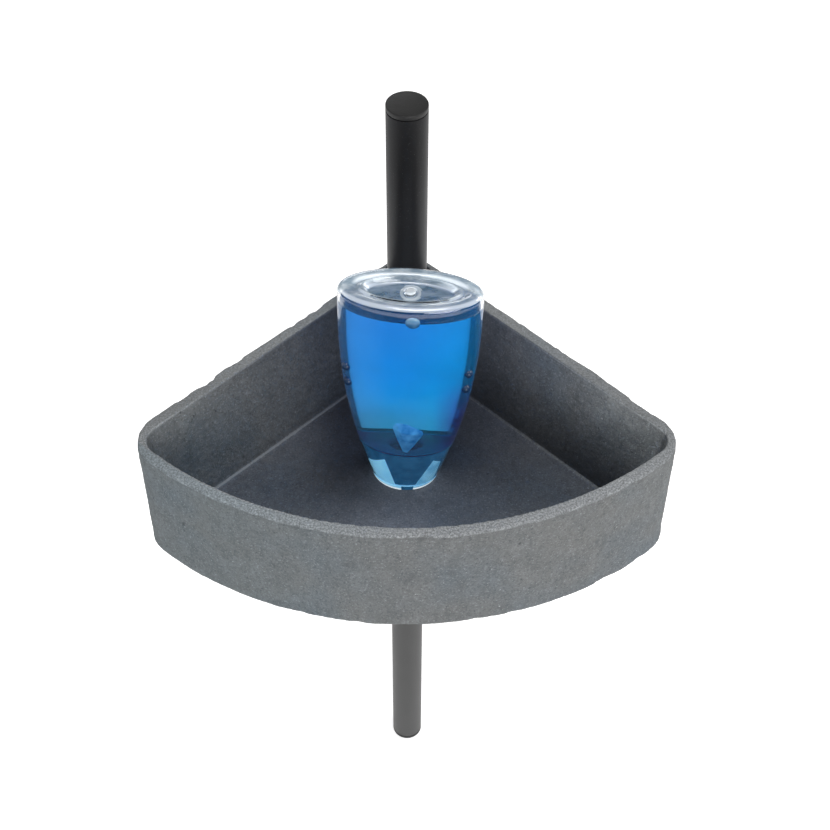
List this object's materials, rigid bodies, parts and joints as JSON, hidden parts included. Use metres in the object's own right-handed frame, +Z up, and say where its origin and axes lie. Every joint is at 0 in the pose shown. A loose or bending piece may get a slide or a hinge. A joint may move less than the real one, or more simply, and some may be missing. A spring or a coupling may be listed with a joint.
{
  "type": "corner shelf tray on pole",
  "caption": "Quarter-round slate-look tray carried at its corner by a round pole, sliding and swivelling on it, holding an upside-down oval gel bottle.",
  "frame": {"origin": "centre of the flat lower end of the pole", "axes": "+Z up along the pole, the tray reaches from the pole towards -Y, its square corner is behind the pole on +Y, +X to the right seen from the front"},
  "size_m": [0.2734, 0.203, 0.6],
  "materials": {
    "pole_black": "satin black powder coat",
    "pole_grey": "satin graphite grey powder coat",
    "black_plastic": "fine matte moulded plastic",
    "tray_slate": "rough speckled slate look, chipped edges",
    "black_rubber": "matte rubber",
    "clear_plastic": "clear glossy bottle plastic",
    "blue_gel": "clear blue gel",
    "label_white": "plain white film label, satin",
    "cap_blue": "clear pale blue plastic",
    "seal_silicone": "translucent silicone"
  },
  "bodies": {
    "pole": {"lower_tube": "pole_grey", "upper_tube": "pole_black", "tube_coupler": "black_plastic", "joint_ring": "black_plastic", "base_plug": "black_plastic", "top_plug": "black_plastic"},
    "carrier": {"cone_half_left": "black_plastic", "cone_half_right": "black_plastic", "cone_band": "black_rubber"},
    "tray": {"tray": "tray_slate", "sleeve_bush": "black_plastic"},
    "bottle": {"bottle_shell": "clear_plastic", "gel": "blue_gel", "back_label": "label_white", "cap": "cap_blue", "neck_seal": "seal_silicone", "nozzle_funnel": "seal_silicone", "nozzle_valve": "seal_silicone"},
    "flip_lid": {"flip_lid": "cap_blue"}
  },
  "joints": [
    {"name": "height_slide", "type": "slide", "parent": "pole", "child": "carrier", "axis": [0, 0, 1], "range_m": [-0.36, 0.08]},
    {"name": "tray_swivel", "type": "hinge", "parent": "carrier", "child": "tray", "pos_m": [0, 0, 0.411], "axis": [0, 0, 1], "continuous": true},
    {"name": "bottle_lift", "type": "slide", "parent": "tray", "child": "bottle", "axis": [0, 0, 1], "range_m": [0, 0.2]},
    {"name": "lid_flip", "type": "hinge", "parent": "bottle", "child": "flip_lid", "pos_m": [0.00134, -0.07248, 0.42205], "axis": [0.9959, -0.0906, 0], "range_deg": [0, 110]}
  ],
  "couplings": [
    {"joint": "lid_flip", "follows": "bottle_lift", "rad_per_m": 9.59}
  ]
}
